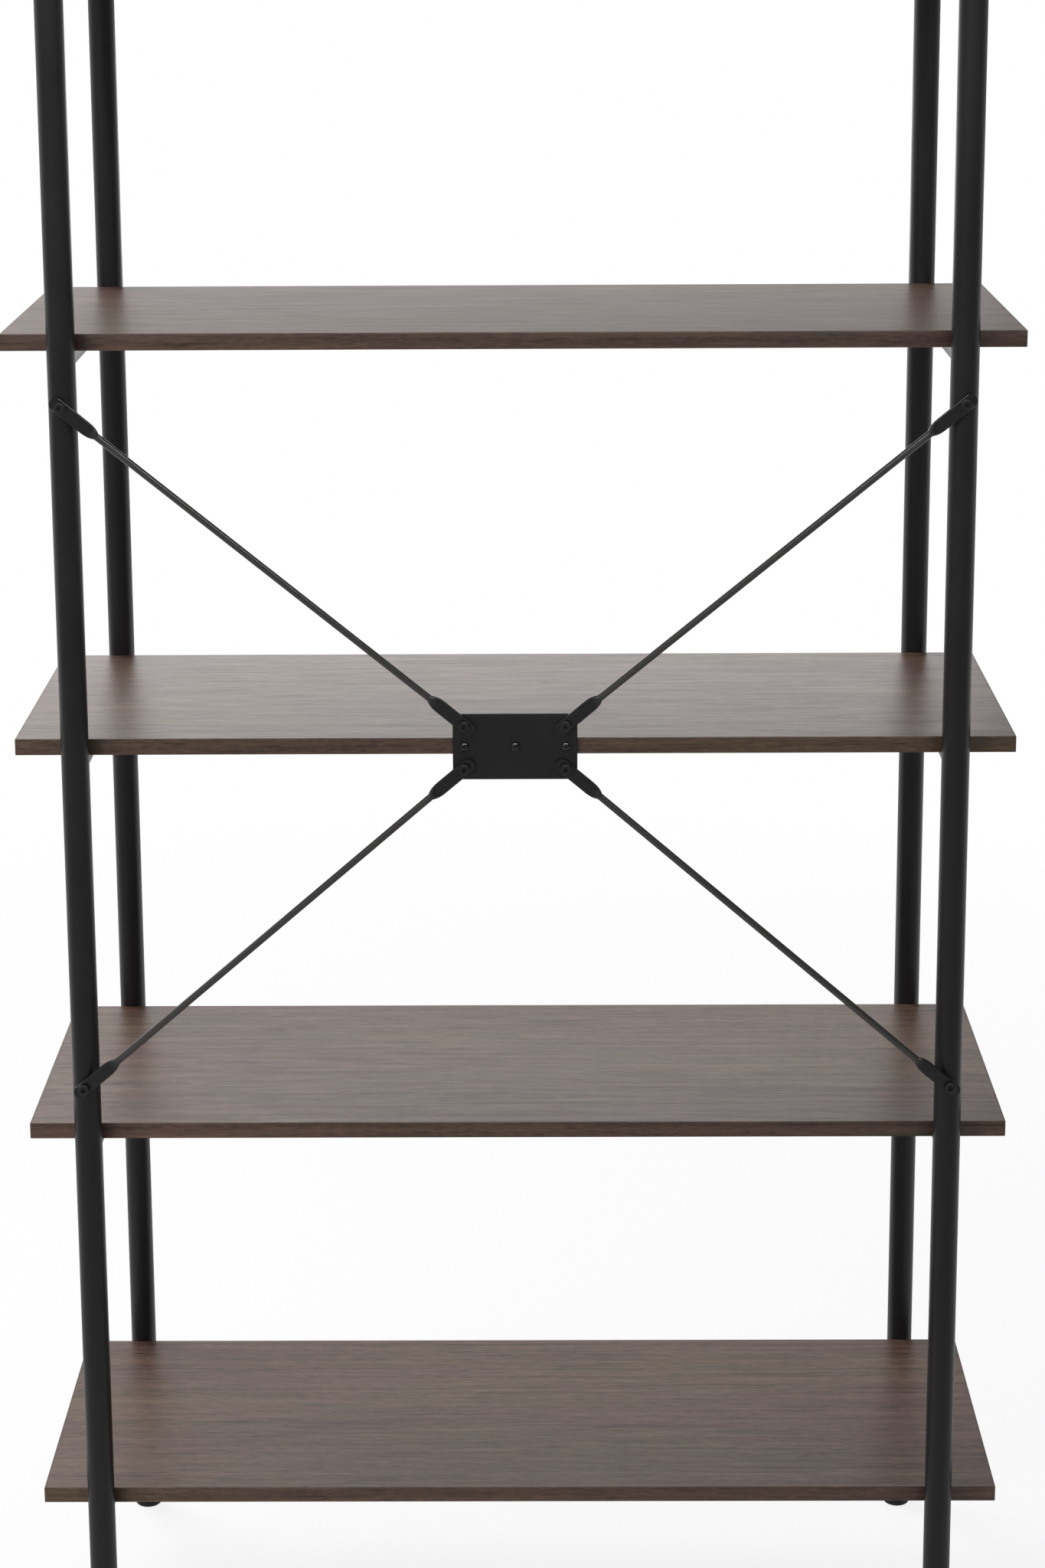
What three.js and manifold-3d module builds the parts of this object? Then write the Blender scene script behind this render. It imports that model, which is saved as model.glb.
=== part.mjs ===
// Five-tier shelving unit: two welded side frames of round tube, five wood-look boards and a cross brace of
// four rods that meet on a plate screwed to the edge of the middle board.
// Millimetres. Z is up and X runs along the boards. The braced side, called the front here, faces -Y.
// Z = 0 is the floor, and X = Y = 0 is the middle between the four posts.

import * as THREE from "three";
import { mergeVertices } from "three/addons/utils/BufferGeometryUtils.js";
import Module from "manifold-3d";

// Gap between pieces that touch, and how far a cutter runs past what it cuts
const gap = 0.3;
const overrun = 2;

// Shelf boards
const shelfCount = 5;
const shelfLength = 900;
const shelfThickness = 15;
const shelfPitch = 368;
const lowestShelfTop = 190;
const shelfEdgeRadius = 0.8;
const shelfToPost = 0.5;

// Side frames: round posts, joined front to rear by a square rail under each board
const unitDepth = 350;
const shelfOverhang = 43.5;
const postDiameter = 25;
const postWall = 1.5;
const postAboveTopShelf = 135;
const railWidth = 15;
const railWall = 1.5;
const railCornerRadius = 2;

// Plastic feet and caps, pushed into the ends of the posts
const footHeight = 6;
const footLip = 1.2;
const footEdgeRadius = 2.4;
const capHeight = 2.7;
const plugLength = 16;
const plugTaper = 0.4;
const plugLeadIn = 1.5;

// Screws that hold a board to its rails, driven from below
const boardScrewDiameter = 4;
const boardScrewInset = 50;
const boardScrewDepth = 10;

// Cross brace: round bar with both ends flattened, cropped round and punched
const braceRise = 315;
const rodDiameter = 6.4;
const tabWidth = 12.5;
const tabLength = 24;
const tabShoulder = 16;
const tabRamp = 8;
const tabEndPastHole = 4.3;

// Plate where the four rods meet
const plateWidth = 112;
const plateHeight = 61;
const plateThickness = 2.5;
const plateCornerRadius = 3;
const plateEdgeEase = 0.4;
const plateHoleInset = 10.5;

// Bolts with a flat-faced head and a hexagon socket, and the nuts they go into
const boltDiameter = 6;
const boltHeadDiameter = 10.5;
const boltHeadHeight = 4;
const boltTipChamfer = 0.6;
const boltPastNut = 2;
const socketAcrossFlats = 4;
const socketDepth = 2.2;
const nutAcrossFlats = 10;
const nutHeight = 5;
const nutChamfer = 0.6;
const rivetNutBodyDiameter = 9;
const rivetNutBodyLength = 13;
const rivetNutFlangeDiameter = 12;
const rivetNutFlangeThickness = 0.8;

// Pan-head screws from the plate into the board's edge
const plateScrewDiameter = 4;
const plateScrewHeadDiameter = 8.2;
const plateScrewHeadHeight = 2.8;
const plateScrewLength = 25;
const plateScrewPoint = 6;
const recessSpan = 4.2;
const recessWidth = 1.1;
const recessDepth = 1.6;

// Upright rim and flat crown of a head, as shares of its height and radius
const boltHeadShares = { rim: 0.7, crown: 0.86 };
const screwHeadShares = { rim: 0.28, crown: 0.56 };

// Facet counts
const postFacets = 32;
const plugFacets = 20;
const fastenerFacets = 16;
const nutFacets = 12;
const holeFacets = 8;
const sectionPoints = 12;
const shoulderSteps = 4;
const domeSteps = 3;
const edgeSteps = 2;

// Sizes that follow from the ones above
const postRadius = postDiameter / 2;
const postBore = postRadius - postWall;
const postX = shelfLength / 2 - shelfOverhang - postRadius;
const postY = unitDepth / 2 - postRadius;
const shelfDepth = 2 * (postY - postRadius - shelfToPost);
const shelfTop = (tier) => lowestShelfTop + tier * shelfPitch;
const postBottom = footHeight + gap;
const postTop = shelfTop(shelfCount - 1) + postAboveTopShelf;
const railTop = (tier) => shelfTop(tier) - shelfThickness - gap;
const boardScrewY = shelfDepth / 2 - boardScrewInset;
const middleTier = Math.floor(shelfCount / 2);
const braceZ = shelfTop(middleTier) - shelfThickness / 2;
const sides = { left: -1, right: 1 };
const faces = { front: -1, rear: 1 };
const levels = { lower: -1, upper: 1 };

const powderCoat = { color: 0x26262a, roughness: 0.45, metalness: 0.55 };
const blackZinc = { color: 0x303034, roughness: 0.35, metalness: 0.8 };
const walnutLaminate = { color: 0x7a685c, roughness: 0.5, metalness: 0 };
const blackPlastic = { color: 0x141414, roughness: 0.55, metalness: 0 };

const wasm = await Module();
wasm.setup();

// A closed three.js geometry as a solid that can be joined and cut
function solidOf(geometry) {
  const bare = geometry.clone();
  bare.deleteAttribute("normal");
  bare.deleteAttribute("uv");
  const merged = mergeVertices(bare);
  const vertProperties = merged.attributes.position.array;
  const triVerts = new Uint32Array(merged.index.array);
  return new wasm.Manifold(new wasm.Mesh({ numProp: 3, vertProperties, triVerts }));
}

// A joined or cut solid as a geometry with flat-shaded faces
function geometryOf(solid) {
  const mesh = solid.getMesh();
  const indexed = new THREE.BufferGeometry();
  indexed.setAttribute("position", new THREE.BufferAttribute(mesh.vertProperties, 3));
  indexed.setIndex(new THREE.BufferAttribute(mesh.triVerts, 1));
  const geometry = indexed.toNonIndexed();
  geometry.computeVertexNormals();
  return geometry;
}

// A solid of revolution about Z, from [radius, height] pairs listed upwards along its outside
function turned(profile, facets) {
  const points = profile.map(([radius, height]) => new THREE.Vector2(radius, height));
  return solidOf(new THREE.LatheGeometry(points, facets).rotateX(Math.PI / 2));
}

// A cylinder centred on a point, along "x", "y" or "z"
function cylinderAlong(axis, radius, length, facets, centre = [0, 0, 0]) {
  const geometry = new THREE.CylinderGeometry(radius, radius, length, facets);
  if (axis === "x") geometry.rotateZ(Math.PI / 2);
  if (axis === "z") geometry.rotateX(Math.PI / 2);
  return solidOf(geometry.translate(...centre));
}

// An outline in X and Y, extruded up from Z = 0
function extruded(shape, depth, curveSegments) {
  return solidOf(new THREE.ExtrudeGeometry(shape, { depth, curveSegments, bevelEnabled: false }));
}

function roundedRectangle(width, height, radius) {
  const x = width / 2 - radius;
  const y = height / 2 - radius;
  const quarter = Math.PI / 2;
  const shape = new THREE.Shape();
  shape.absarc(x, y, radius, 0, quarter);
  shape.absarc(-x, y, radius, quarter, 2 * quarter);
  shape.absarc(-x, -y, radius, 2 * quarter, 3 * quarter);
  shape.absarc(x, -y, radius, 3 * quarter, 4 * quarter);
  return shape;
}

function rectangle(width, height) {
  const path = new THREE.Shape();
  path.moveTo(-width / 2, -height / 2);
  path.lineTo(width / 2, -height / 2);
  path.lineTo(width / 2, height / 2);
  path.lineTo(-width / 2, height / 2);
  path.closePath();
  return path;
}

// A quarter turn of an arc as [radius, height] pairs, from angle to angle
function arc(centreRadius, centreHeight, radius, rise, from, to, steps) {
  const curve = new THREE.EllipseCurve(centreRadius, centreHeight, radius, rise, from, to);
  return curve.getPoints(steps).map((point) => [point.x, point.y]);
}

const unit = new THREE.Group();

function add(name, solid, finish, place, turn = [0, 0, 0]) {
  const mesh = new THREE.Mesh(geometryOf(solid), new THREE.MeshStandardMaterial(finish));
  mesh.name = name;
  mesh.position.set(...place);
  mesh.rotation.set(...turn);
  unit.add(mesh);
}

// Posts: round tube, and in the front ones two holes that take the brace's rivet nuts
function post(hasBraceHoles) {
  const wall = new THREE.Shape().absarc(0, 0, postRadius, 0, 2 * Math.PI);
  wall.holes.push(new THREE.Path().absarc(0, 0, postBore, 0, 2 * Math.PI));
  const tube = extruded(wall, postTop - postBottom, postFacets / 2);
  if (!hasBraceHoles) return tube;
  const drills = Object.values(levels).map((level) => {
    const height = braceZ + level * braceRise - postBottom;
    const radius = rivetNutBodyDiameter / 2 + gap;
    return cylinderAlong("y", radius, postDiameter, nutFacets, [0, -postDiameter / 2, height]);
  });
  return drills.reduce((cut, drill) => cut.subtract(drill), tube);
}

for (const [face, towards] of Object.entries(faces)) {
  for (const [side, out] of Object.entries(sides)) {
    const place = [out * postX, towards * postY, postBottom];
    add(`${face}_${side}_post`, post(face === "front"), powderCoat, place);
  }
}

// Rails: square tube coped to the posts at both ends, with two clearance holes for the board screws
function rail() {
  const wall = roundedRectangle(railWidth, railWidth, railCornerRadius);
  wall.holes.push(rectangle(railWidth - 2 * railWall, railWidth - 2 * railWall));
  const options = { depth: 2 * postY, curveSegments: edgeSteps / 2, bevelEnabled: false };
  const geometry = new THREE.ExtrudeGeometry(wall, options);
  const tube = solidOf(geometry.translate(0, 0, -postY).rotateX(Math.PI / 2));
  const height = railWidth + 2 * overrun;
  const holeRadius = boardScrewDiameter / 2 + gap;
  const cutters = Object.values(faces).flatMap((towards) => [
    cylinderAlong("z", postRadius + gap, height, postFacets, [0, towards * postY, 0]),
    cylinderAlong("z", holeRadius, height, holeFacets, [0, towards * boardScrewY, 0]),
  ]);
  return cutters.reduce((cut, cutter) => cut.subtract(cutter), tube);
}

for (let tier = 0; tier < shelfCount; tier++) {
  for (const [side, out] of Object.entries(sides)) {
    const place = [out * postX, 0, railTop(tier) - railWidth / 2];
    add(`${side}_rail_${tier + 1}`, rail(), powderCoat, place);
  }
}

// Holes in the plate, measured from its centre: one near each corner, and a row of three between them
const plateHoleX = plateWidth / 2 - plateHoleInset;
const plateHoleZ = plateHeight / 2 - plateHoleInset;
const plateScrewXs = [-plateHoleX, 0, plateHoleX];

// Boards: eased along every edge, with pilot holes from below, and in the middle board's front edge as well
function board(tier) {
  const eased = 2 * shelfEdgeRadius;
  const geometry = new THREE.ExtrudeGeometry(rectangle(shelfLength - eased, shelfDepth - eased), {
    depth: shelfThickness - eased,
    bevelThickness: shelfEdgeRadius,
    bevelSize: shelfEdgeRadius,
    bevelSegments: edgeSteps,
  });
  const blank = solidOf(geometry.translate(0, 0, shelfEdgeRadius - shelfThickness));
  const drills = Object.values(sides).flatMap((out) =>
    Object.values(faces).map((towards) => {
      const radius = boardScrewDiameter / 2 + gap;
      const centre = [out * postX, towards * boardScrewY, -shelfThickness];
      return cylinderAlong("z", radius, 2 * (boardScrewDepth + gap), holeFacets, centre);
    }),
  );
  if (tier === middleTier) {
    const radius = plateScrewDiameter / 2 + gap;
    const length = 2 * plateScrewLength;
    for (const x of plateScrewXs) {
      const centre = [x, -shelfDepth / 2, -shelfThickness / 2];
      drills.push(cylinderAlong("y", radius, length, holeFacets, centre));
    }
  }
  return drills.reduce((cut, drill) => cut.subtract(drill), blank);
}

for (let tier = 0; tier < shelfCount; tier++) {
  add(`shelf_${tier + 1}`, board(tier), walnutLaminate, [0, 0, shelfTop(tier)]);
}

// Stack-up in front of the middle board's edge and of the front posts, as distances towards the viewer
const plateBack = shelfDepth / 2 + gap;
const plateFront = plateBack + plateThickness;
const postFront = postY + postRadius;
const rivetNutFront = postFront + gap + rivetNutFlangeThickness;

// A tab's section has flat sides and round edges, and keeps the area of the bar that was pressed into it
const rodRadius = rodDiameter / 2;
const squareCorners = 4 - Math.PI;
const tabRoot = Math.sqrt(tabWidth ** 2 - squareCorners * Math.PI * rodRadius ** 2);
const tabThickness = (2 * (tabWidth - tabRoot)) / squareCorners;
const plateTabY = plateFront + gap + tabThickness / 2;
const postTabY = rivetNutFront + gap + tabThickness / 2;

// Brace rod, from its hole at the plate to its hole at the post along X. Its step towards -Y lies between
// the two shoulders, so both tabs stay flat against what they are bolted to.
const rodRun = postX - plateHoleX;
const rodRise = braceRise - plateHoleZ;
const rodSpan = Math.hypot(rodRun, rodRise);
const rodStep = postTabY - plateTabY;

function rodRing(station) {
  const fromHole = Math.min(station, rodSpan - station);
  const neck = tabLength + tabShoulder;
  const narrowShare = THREE.MathUtils.smoothstep(fromHole, tabLength, neck);
  const rampShare = THREE.MathUtils.smoothstep(fromHole, neck - tabRamp, neck);
  const stepShare = THREE.MathUtils.clamp((station - tabLength) / (rodSpan - 2 * tabLength), 0, 1);
  const halfWidth = THREE.MathUtils.lerp(tabWidth / 2, rodRadius, narrowShare);
  const halfThickness = THREE.MathUtils.lerp(tabThickness / 2, rodRadius, rampShare);
  return Array.from({ length: sectionPoints }, (unused, index) => {
    const angle = ((index + 1 / 2) / sectionPoints) * 2 * Math.PI;
    const flat = Math.sign(Math.cos(angle)) * (halfWidth - halfThickness);
    const across = flat + halfThickness * Math.cos(angle);
    return [station, halfThickness * Math.sin(angle) - stepShare * rodStep, across];
  });
}

function rodBar() {
  const end = tabEndPastHole + tabWidth;
  const shoulder = Array.from(
    { length: shoulderSteps + 1 },
    (unused, step) => tabLength + (tabShoulder * step) / shoulderSteps,
  );
  const mirrored = shoulder.map((station) => rodSpan - station).reverse();
  const rings = [-end, ...shoulder, ...mirrored, rodSpan + end].map(rodRing);
  const index = [];
  const at = (ring, point) => ring * sectionPoints + (point % sectionPoints);
  for (let ring = 0; ring < rings.length - 1; ring++) {
    for (let point = 0; point < sectionPoints; point++) {
      index.push(at(ring, point), at(ring + 1, point + 1), at(ring, point + 1));
      index.push(at(ring, point), at(ring + 1, point), at(ring + 1, point + 1));
    }
  }
  const last = rings.length - 1;
  for (let point = 1; point < sectionPoints - 1; point++) {
    index.push(at(0, 0), at(0, point), at(0, point + 1));
    index.push(at(last, 0), at(last, point + 1), at(last, point));
  }
  const geometry = new THREE.BufferGeometry();
  geometry.setAttribute("position", new THREE.Float32BufferAttribute(rings.flat(2), 3));
  geometry.setIndex(index);
  return solidOf(geometry);
}

// The die that crops both tabs round: the rod seen square on, as a slot-shaped outline
function rodOutline() {
  const radius = tabWidth / 2;
  const quarter = Math.PI / 2;
  const outline = new THREE.Shape();
  outline.absarc(rodSpan + tabEndPastHole, 0, radius, -quarter, quarter);
  outline.absarc(-tabEndPastHole, 0, radius, quarter, 3 * quarter);
  const depth = rodStep + 2 * (rodDiameter + overrun);
  const geometry = new THREE.ExtrudeGeometry(outline, {
    depth,
    curveSegments: fastenerFacets / 4,
    bevelEnabled: false,
  });
  return solidOf(geometry.translate(0, 0, -rodDiameter - overrun).rotateX(Math.PI / 2));
}

function braceRod() {
  const holeRadius = boltDiameter / 2 + gap;
  const length = 2 * (rodStep + rodDiameter);
  const punches = [0, rodSpan].map((station) =>
    cylinderAlong("y", holeRadius, length, fastenerFacets, [station, 0, 0]),
  );
  return punches.reduce((cut, punch) => cut.subtract(punch), rodBar().intersect(rodOutline()));
}

for (const [level, up] of Object.entries(levels)) {
  for (const [side, out] of Object.entries(sides)) {
    const place = [out * plateHoleX, -plateTabY, braceZ + up * plateHoleZ];
    const lean = Math.atan2(up * rodRise, out * rodRun);
    add(`brace_rod_${level}_${side}`, braceRod(), powderCoat, place, [0, -lean, 0]);
  }
}

// Plate: blanked sheet with eased edges and seven holes
function bracePlate() {
  const eased = 2 * plateEdgeEase;
  const outline = roundedRectangle(plateWidth - eased, plateHeight - eased, plateCornerRadius);
  const geometry = new THREE.ExtrudeGeometry(outline, {
    depth: plateThickness - eased,
    bevelThickness: plateEdgeEase,
    bevelSize: plateEdgeEase,
    bevelSegments: 1,
    curveSegments: edgeSteps,
  });
  const blank = solidOf(geometry.translate(0, 0, plateEdgeEase).rotateX(Math.PI / 2));
  const length = 2 * (plateThickness + overrun);
  const boltHoles = Object.values(sides).flatMap((out) =>
    Object.values(levels).map((up) => {
      const centre = [out * plateHoleX, 0, up * plateHoleZ];
      return cylinderAlong("y", boltDiameter / 2 + gap, length, nutFacets, centre);
    }),
  );
  const screwHoles = plateScrewXs.map((x) =>
    cylinderAlong("y", plateScrewDiameter / 2 + gap, length, holeFacets, [x, 0, 0]),
  );
  return [...boltHoles, ...screwHoles].reduce((cut, hole) => cut.subtract(hole), blank);
}

add("brace_plate", bracePlate(), powderCoat, [0, -plateBack, braceZ]);

// A fastener without its recess: the shank points down from Z = 0 and the head stands up from it. The
// shank tapers over the length of its point to the radius of its tip.
function fastener(head, shank) {
  const headRadius = head.diameter / 2;
  const shankRadius = shank.diameter / 2;
  const rim = head.shares.rim * head.height;
  const crown = head.shares.crown * headRadius;
  const shoulder = [headRadius - crown, head.height - rim];
  return turned(
    [
      [0, -shank.length],
      [shank.tipRadius, -shank.length],
      [shankRadius, shank.pointLength - shank.length],
      [shankRadius, 0],
      [headRadius, 0],
      ...arc(crown, rim, ...shoulder, 0, Math.PI / 2, edgeSteps),
      [0, head.height],
    ],
    fastenerFacets,
  );
}

// Fasteners stand with their heads towards the viewer
const facingFront = [Math.PI / 2, 0, 0];

// Bolts through the outer tabs, each into a rivet nut set in the post
const postHeadY = postTabY + tabThickness / 2 + gap;
const postBoltLength = postHeadY - postFront + rivetNutBodyLength - boltTipChamfer;

function machineBolt(length) {
  const head = { diameter: boltHeadDiameter, height: boltHeadHeight, shares: boltHeadShares };
  const tipRadius = boltDiameter / 2 - boltTipChamfer;
  const shank = { diameter: boltDiameter, length, pointLength: boltTipChamfer, tipRadius };
  const cornerRadius = socketAcrossFlats / 2 / Math.cos(Math.PI / 6);
  const socket = new THREE.CylinderGeometry(cornerRadius, cornerRadius, 2 * socketDepth, 6);
  const cutter = socket.rotateX(Math.PI / 2).translate(0, 0, boltHeadHeight);
  return fastener(head, shank).subtract(solidOf(cutter));
}

function rivetNut() {
  const bore = boltDiameter / 2 + gap;
  const bodyRadius = rivetNutBodyDiameter / 2;
  const flangeRadius = rivetNutFlangeDiameter / 2;
  return turned(
    [
      [bore, -rivetNutBodyLength],
      [bodyRadius, -rivetNutBodyLength],
      [bodyRadius, 0],
      [flangeRadius, 0],
      [flangeRadius, rivetNutFlangeThickness],
      [bore, rivetNutFlangeThickness],
      [bore, -rivetNutBodyLength],
    ],
    nutFacets,
  );
}

// Bolts through the inner tabs and the plate, each into a hexagon nut behind it
const plateHeadY = plateTabY + tabThickness / 2 + gap;
const nutFront = plateBack - gap;
const plateBoltLength = plateHeadY - nutFront + nutHeight + boltPastNut;

function hexagonNut() {
  const flatRadius = nutAcrossFlats / 2;
  const cornerRadius = flatRadius / Math.cos(Math.PI / 6);
  const hexagon = new THREE.CylinderGeometry(cornerRadius, cornerRadius, nutHeight, 6);
  const prism = solidOf(hexagon.rotateX(Math.PI / 2).translate(0, 0, -nutHeight / 2));
  const chamfer = turned(
    [
      [0, -nutHeight],
      [flatRadius, -nutHeight],
      [cornerRadius, nutChamfer - nutHeight],
      [cornerRadius, -nutChamfer],
      [flatRadius, 0],
      [0, 0],
    ],
    nutFacets,
  );
  const tap = cylinderAlong("z", boltDiameter / 2 + gap, 2 * (nutHeight + overrun), nutFacets);
  return prism.intersect(chamfer).subtract(tap);
}

for (const [level, up] of Object.entries(levels)) {
  for (const [side, out] of Object.entries(sides)) {
    const corner = `${level}_${side}`;
    const postAt = (y) => [out * postX, -y, braceZ + up * braceRise];
    const plateAt = (y) => [out * plateHoleX, -y, braceZ + up * plateHoleZ];
    const seat = postFront + gap;
    add(`post_bolt_${corner}`, machineBolt(postBoltLength), blackZinc, postAt(postHeadY), facingFront);
    add(`rivet_nut_${corner}`, rivetNut(), blackZinc, postAt(seat), facingFront);
    add(`plate_bolt_${corner}`, machineBolt(plateBoltLength), blackZinc, plateAt(plateHeadY), facingFront);
    add(`plate_nut_${corner}`, hexagonNut(), blackZinc, plateAt(nutFront), facingFront);
  }
}

// Pan-head screws with a cross recess, from the plate into the middle board's edge
function plateScrew() {
  const head = {
    diameter: plateScrewHeadDiameter,
    height: plateScrewHeadHeight,
    shares: screwHeadShares,
  };
  const shank = {
    diameter: plateScrewDiameter,
    length: plateScrewLength,
    pointLength: plateScrewPoint,
    tipRadius: gap,
  };
  const slot = new THREE.BoxGeometry(recessSpan, recessWidth, 2 * recessDepth);
  slot.translate(0, 0, plateScrewHeadHeight);
  const crossSlot = slot.clone().rotateZ(Math.PI / 2);
  return fastener(head, shank).subtract(solidOf(slot)).subtract(solidOf(crossSlot));
}

const plateScrewNames = ["left", "middle", "right"];

plateScrewXs.forEach((x, index) => {
  const place = [x, -plateFront - gap, braceZ];
  add(`plate_screw_${plateScrewNames[index]}`, plateScrew(), blackZinc, place, facingFront);
});

// A plug that goes up into a tube from Z = 0, as [radius, height] pairs without its lip
function plugProfile() {
  const root = postBore - gap;
  const tip = root - plugTaper;
  return [
    [root, 0],
    [tip, plugLength - plugLeadIn],
    [tip - plugLeadIn, plugLength],
    [0, plugLength],
  ];
}

// Foot: a flat disc with a rounded edge, a little wider than the post, and its plug
function foot() {
  const radius = postRadius + footLip;
  const inner = radius - footEdgeRadius;
  const edge = arc(inner, footEdgeRadius, footEdgeRadius, footEdgeRadius, -Math.PI / 2, 0, edgeSteps);
  const plug = plugProfile().map(([out, height]) => [out, height + footHeight]);
  return turned([[0, 0], ...edge, [radius, footHeight], ...plug], plugFacets);
}

// Cap: a shallow dome flush with the post, and its plug, turned the other way up
function cap() {
  const plug = plugProfile().map(([out, height]) => [out, -height]).reverse();
  const dome = arc(0, 0, postRadius, capHeight, 0, Math.PI / 2, domeSteps).slice(0, -1);
  return turned([...plug, ...dome, [0, capHeight]], plugFacets);
}

for (const [face, towards] of Object.entries(faces)) {
  for (const [side, out] of Object.entries(sides)) {
    add(`foot_${face}_${side}`, foot(), blackPlastic, [out * postX, towards * postY, 0]);
    add(`cap_${face}_${side}`, cap(), blackPlastic, [out * postX, towards * postY, postTop + gap]);
  }
}

export default unit;
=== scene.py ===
# Looks of the five-tier shelving unit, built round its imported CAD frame.
# Metres, in the frame of the CAD part: Z is up, X runs along the boards, and the braced side faces -Y.

import math

import bmesh
import bpy
from mathutils import Matrix, Vector


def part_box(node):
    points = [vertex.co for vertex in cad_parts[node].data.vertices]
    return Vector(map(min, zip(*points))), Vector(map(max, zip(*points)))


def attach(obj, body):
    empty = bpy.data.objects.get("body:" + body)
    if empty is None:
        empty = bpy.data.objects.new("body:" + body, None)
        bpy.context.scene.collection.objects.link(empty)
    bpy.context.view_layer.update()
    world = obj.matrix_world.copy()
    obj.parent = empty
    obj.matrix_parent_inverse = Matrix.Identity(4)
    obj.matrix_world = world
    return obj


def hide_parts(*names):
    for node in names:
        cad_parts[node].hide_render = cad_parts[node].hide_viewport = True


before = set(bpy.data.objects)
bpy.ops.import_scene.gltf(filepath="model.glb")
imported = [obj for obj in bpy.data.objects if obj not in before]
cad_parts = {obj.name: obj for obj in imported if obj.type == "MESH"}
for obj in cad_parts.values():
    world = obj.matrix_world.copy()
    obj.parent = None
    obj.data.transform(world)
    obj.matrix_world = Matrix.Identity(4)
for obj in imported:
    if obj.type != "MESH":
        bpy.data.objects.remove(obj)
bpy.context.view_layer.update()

# Posts: four lengths of round steel tube, sawn square, deburred at both ends and powder-coated black. The
# front pair is drilled twice through its outer face for the rivet nuts that carry the cross brace.
post_wall = 0.0015
post_end_ease = 0.0004
post_facets = 72
rivet_hole = 0.0096
drill_facets = 32
same_point = 1e-6
facing_front = Matrix.Rotation(math.pi / 2, 4, "X")
coat_black = (0.0054, 0.0048, 0.0057, 1)
patches_per_metre = 14.0
patch_edges = (0.3, 0.7)
patch_lift = 1.35


def turned(outline, facets, closed=False):
    """A solid turned about Z from (radius, height) points. A closed outline makes a ring or a tube."""
    shape = bmesh.new()
    points = [shape.verts.new((radius, 0, height)) for radius, height in outline]
    pairs = list(zip(points, points[1:]))
    if closed:
        pairs.append((points[-1], points[0]))
    edges = [shape.edges.new(pair) for pair in pairs]
    bmesh.ops.spin(
        shape,
        geom=points + edges,
        cent=(0, 0, 0),
        axis=(0, 0, 1),
        angle=math.tau,
        steps=facets,
        use_merge=True,
    )
    bmesh.ops.remove_doubles(shape, verts=shape.verts, dist=same_point)
    bmesh.ops.recalc_face_normals(shape, faces=shape.faces)
    return shape


def moved(shape, place):
    """The same shape, moved or turned by a matrix"""
    shape.transform(place)
    return shape


def cut_with(stock, tool, how="DIFFERENCE"):
    """What is left of a solid once a tool has been through it, or what both share where how is INTERSECT"""
    blanks = []
    for label, shape in (("stock", stock), ("tool", tool)):
        mesh = bpy.data.meshes.new(label)
        shape.to_mesh(mesh)
        shape.free()
        blank = bpy.data.objects.new(label, mesh)
        bpy.context.scene.collection.objects.link(blank)
        blanks.append(blank)
    cut = blanks[0].modifiers.new("cut", "BOOLEAN")
    cut.object = blanks[1]
    cut.operation = how
    cut.solver = "EXACT"
    left = bmesh.new()
    left.from_object(blanks[0], bpy.context.evaluated_depsgraph_get())
    for blank in blanks:
        mesh = blank.data
        bpy.data.objects.remove(blank)
        bpy.data.meshes.remove(mesh)
    return left


def cone(sides, low_radius, high_radius, depth, place):
    """A solid cone, cylinder or prism with its middle at a place and its axis along the place's Z"""
    shape = bmesh.new()
    bmesh.ops.create_cone(
        shape,
        cap_ends=True,
        segments=sides,
        radius1=low_radius,
        radius2=high_radius,
        depth=depth,
        matrix=place,
    )
    return shape


def drilled(stock, across, length, places, towards="y"):
    """A solid with round holes through it, each centred on a place and running along Y or Z"""
    turn = facing_front if towards == "y" else Matrix()
    for place in places:
        drill = cone(drill_facets, across / 2, across / 2, length, Matrix.Translation(place) @ turn)
        stock = cut_with(stock, drill)
    return stock


def set_down(shape, name, finish, crease=35):
    """The finished piece, shaded smooth except across edges sharper than the crease, in degrees"""
    mesh = bpy.data.meshes.new(name)
    shape.to_mesh(mesh)
    shape.free()
    mesh.shade_smooth()
    mesh.set_sharp_from_angle(angle=math.radians(crease))
    mesh.materials.append(finish)
    piece = bpy.data.objects.new(name, mesh)
    bpy.context.scene.collection.objects.link(piece)
    return piece


def corners_of(node):
    """The lowest and the highest corner of a CAD node's box"""
    low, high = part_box(node)
    return Vector(low), Vector(high)


def middle(node):
    """The centre of a CAD node's box"""
    low, high = corners_of(node)
    return (low + high) / 2


def put(tree, kind, inputs=None, **settings):
    """A node with its settings, each input either a value or another node's output"""
    made = tree.nodes.new(f"ShaderNode{kind}")
    for key, value in settings.items():
        setattr(made, key, value)
    for key, value in (inputs or {}).items():
        if isinstance(value, bpy.types.NodeSocket):
            tree.links.new(value, made.inputs[key])
        else:
            made.inputs[key].default_value = value
    return made


def math_node(tree, first, second, how="ADD"):
    """One value worked out from two, by the named arithmetic"""
    return put(tree, "Math", {0: first, 1: second}, operation=how).outputs[0]


def remapped(tree, value, low, high, new_low, new_high):
    """A value carried from one range to another, and held inside it"""
    inputs = {"Value": value, 1: low, 2: high, 3: new_low, 4: new_high}
    return put(tree, "MapRange", inputs).outputs["Result"]


def new_group(name, inputs, outputs):
    """An empty node group with named sockets: its tree, the sockets that come in and the ones that go out"""
    tree = bpy.data.node_groups.new(name, "ShaderNodeTree")
    for direction, sockets in (("INPUT", inputs), ("OUTPUT", outputs)):
        for label, kind in sockets.items():
            tree.interface.new_socket(label, in_out=direction, socket_type=f"NodeSocket{kind}")
    return tree, tree.nodes.new("NodeGroupInput").outputs, tree.nodes.new("NodeGroupOutput").inputs


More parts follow.
